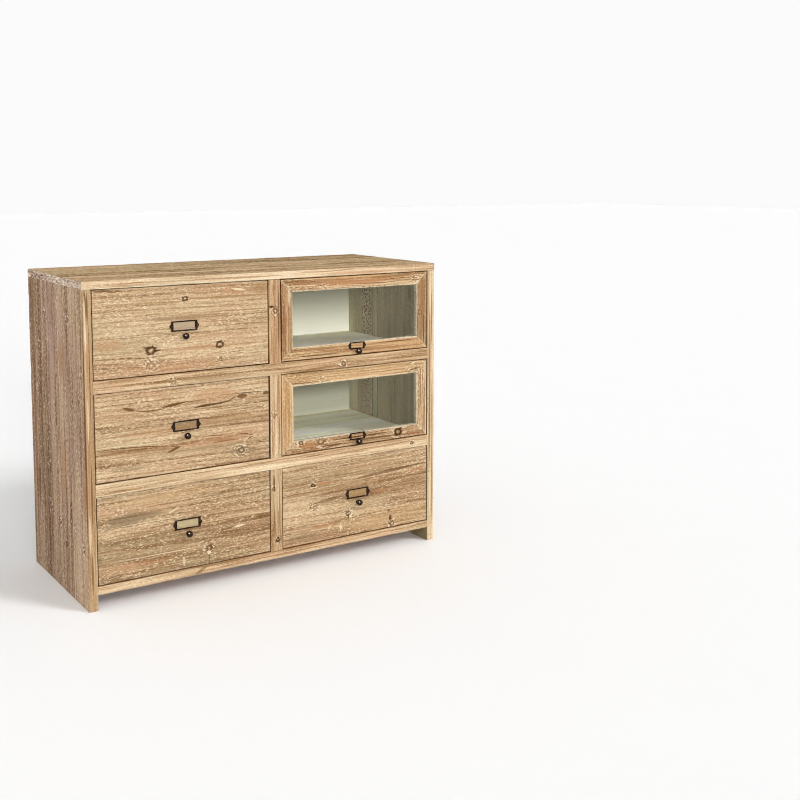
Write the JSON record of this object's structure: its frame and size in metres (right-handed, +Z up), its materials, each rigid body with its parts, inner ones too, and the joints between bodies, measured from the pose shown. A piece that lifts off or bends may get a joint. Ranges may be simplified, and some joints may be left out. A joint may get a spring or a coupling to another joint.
{
  "type": "apothecary chest",
  "caption": "Low wide pine chest with sliding drawers, and a column with glazed flaps that swing up; label holders and round knobs on every front",
  "frame": {"origin": "middle of the whole chest on the floor, with the knobs counted in its depth", "axes": "+X to the right along the front, +Y from the front to the back, +Z up"},
  "size_m": [1.088, 0.4954, 0.86],
  "materials": {
    "top_pine": "limed pine",
    "side_pine": "weathered grey-brown pine",
    "rail_pine": "light honey pine",
    "front_pine": "limed honey pine",
    "flap_pine": "limed orange-brown pine",
    "inside_pine": "sage-washed pine",
    "box_pine": "bare pine",
    "dark_bronze": "dark bronze patina",
    "pane": "clear",
    "steel": "bare steel"
  },
  "bodies": {
    "case": {"top_board": "top_pine", "left_side": "side_pine", "right_side": "side_pine", "back_panel": "inside_pine", "bottom_board": "rail_pine", "centre_partition": "inside_pine", "upper_rail": "rail_pine", "lower_rail": "rail_pine", "centre_stiles": "rail_pine", "upper_shelf": "inside_pine", "lower_shelf": "inside_pine", "drawer_runners": "box_pine", "drawer_guides": "box_pine", "stop_blocks": "box_pine"},
    "top_left_drawer": {"top_left_drawer_front": "front_pine", "top_left_drawer_left_side": "box_pine", "top_left_drawer_right_side": "box_pine", "top_left_drawer_back": "box_pine", "top_left_drawer_bottom": "box_pine", "top_left_drawer_label_holder": "dark_bronze", "top_left_drawer_knob": "dark_bronze"},
    "middle_left_drawer": {"middle_left_drawer_front": "front_pine", "middle_left_drawer_left_side": "box_pine", "middle_left_drawer_right_side": "box_pine", "middle_left_drawer_back": "box_pine", "middle_left_drawer_bottom": "box_pine", "middle_left_drawer_label_holder": "dark_bronze", "middle_left_drawer_knob": "dark_bronze"},
    "bottom_left_drawer": {"bottom_left_drawer_front": "front_pine", "bottom_left_drawer_left_side": "box_pine", "bottom_left_drawer_right_side": "box_pine", "bottom_left_drawer_back": "box_pine", "bottom_left_drawer_bottom": "box_pine", "bottom_left_drawer_label_holder": "dark_bronze", "bottom_left_drawer_knob": "dark_bronze"},
    "bottom_right_drawer": {"bottom_right_drawer_front": "front_pine", "bottom_right_drawer_left_side": "box_pine", "bottom_right_drawer_right_side": "box_pine", "bottom_right_drawer_back": "box_pine", "bottom_right_drawer_bottom": "box_pine", "bottom_right_drawer_label_holder": "dark_bronze", "bottom_right_drawer_knob": "dark_bronze"},
    "upper_door": {"upper_door_top_rail": "flap_pine", "upper_door_bottom_rail": "flap_pine", "upper_door_left_stile": "flap_pine", "upper_door_right_stile": "flap_pine", "upper_door_glass": "pane", "upper_door_beads": "flap_pine", "upper_door_label_holder": "dark_bronze", "upper_door_knob": "dark_bronze", "upper_door_pivot_pins": "steel"},
    "lower_door": {"lower_door_top_rail": "flap_pine", "lower_door_bottom_rail": "flap_pine", "lower_door_left_stile": "flap_pine", "lower_door_right_stile": "flap_pine", "lower_door_glass": "pane", "lower_door_beads": "flap_pine", "lower_door_label_holder": "dark_bronze", "lower_door_knob": "dark_bronze", "lower_door_pivot_pins": "steel"}
  },
  "joints": [
    {"name": "top_left_drawer_slide", "type": "slide", "parent": "case", "child": "top_left_drawer", "axis": [0, -1, 0], "range_m": [0, 0.3]},
    {"name": "middle_left_drawer_slide", "type": "slide", "parent": "case", "child": "middle_left_drawer", "axis": [0, -1, 0], "range_m": [0, 0.3]},
    {"name": "bottom_left_drawer_slide", "type": "slide", "parent": "case", "child": "bottom_left_drawer", "axis": [0, -1, 0], "range_m": [0, 0.3]},
    {"name": "bottom_right_drawer_slide", "type": "slide", "parent": "case", "child": "bottom_right_drawer", "axis": [0, -1, 0], "range_m": [0, 0.3]},
    {"name": "upper_door_hinge", "type": "hinge", "parent": "case", "child": "upper_door", "pos_m": [0.2685, -0.22025, 0.8305], "axis": [-1, 0, 0], "range_deg": [0, 90]},
    {"name": "lower_door_hinge", "type": "hinge", "parent": "case", "child": "lower_door", "pos_m": [0.2685, -0.22025, 0.5615], "axis": [-1, 0, 0], "range_deg": [0, 90]}
  ]
}
